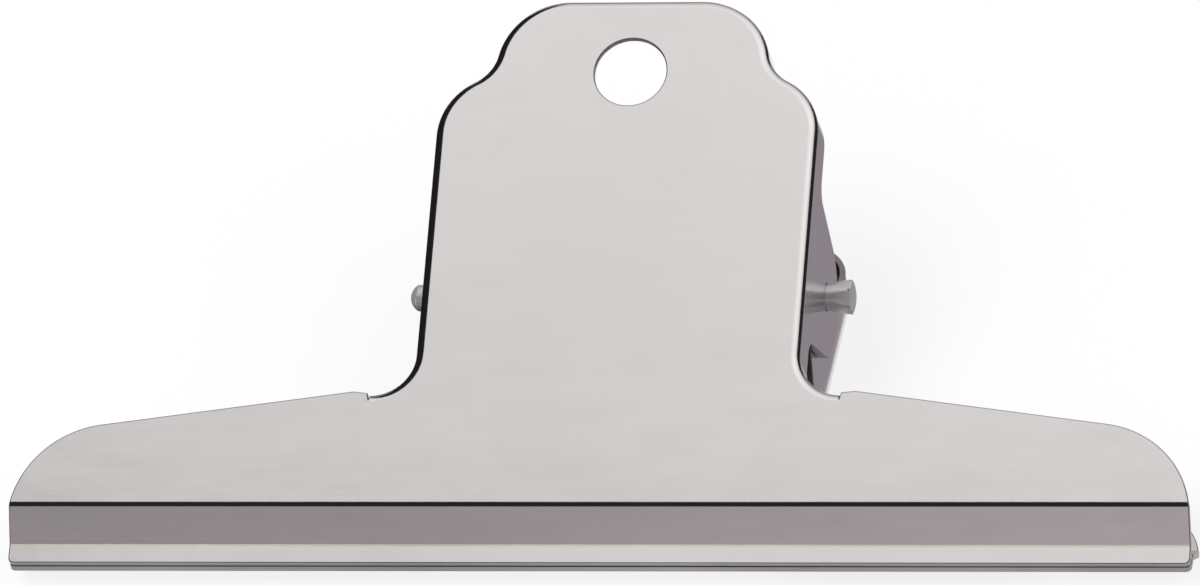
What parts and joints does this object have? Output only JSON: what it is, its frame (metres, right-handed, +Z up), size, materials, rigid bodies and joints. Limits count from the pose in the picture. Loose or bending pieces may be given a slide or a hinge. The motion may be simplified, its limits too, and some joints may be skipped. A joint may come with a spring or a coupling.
{
  "type": "bulldog clip",
  "caption": "Wide sprung letter clip: two bent sheet steel plates hinged on a rod, with long jaws that grip the edge of a stack of paper and handles with hanging holes.",
  "frame": {"origin": "centre of the base of the bounding box, with the clip lying on its rear plate and its jaws closed", "axes": "+X along the jaws, to the side of the rod's spread head; +Y from the jaws to the handles; +Z up, away from the surface that the rear plate lies on"},
  "size_m": [0.125, 0.063, 0.0369],
  "materials": {
    "plate_front": "nickel plated pressed sheet steel, satin sheen with fine grain along the jaws",
    "plate_rear": "nickel plated pressed sheet steel, satin sheen with fine grain along the jaws",
    "rod": "bright drawn steel rod, one end spread by pressing",
    "spring": "dark drawn spring wire"
  },
  "bodies": {
    "rear_half": {"rear_plate": "plate_rear", "hinge_rod": "rod", "torsion_spring": "spring"},
    "front_half": {"front_plate": "plate_front"}
  },
  "joints": [
    {"name": "jaw_hinge", "type": "hinge", "parent": "rear_half", "child": "front_half", "pos_m": [0, 0.00343, 0.0123], "axis": [-1, 0, 0], "range_deg": [0, 50], "stiffness_Nm_per_rad": 0.47, "springref_deg": -45.84, "deforming": ["torsion_spring"]}
  ]
}
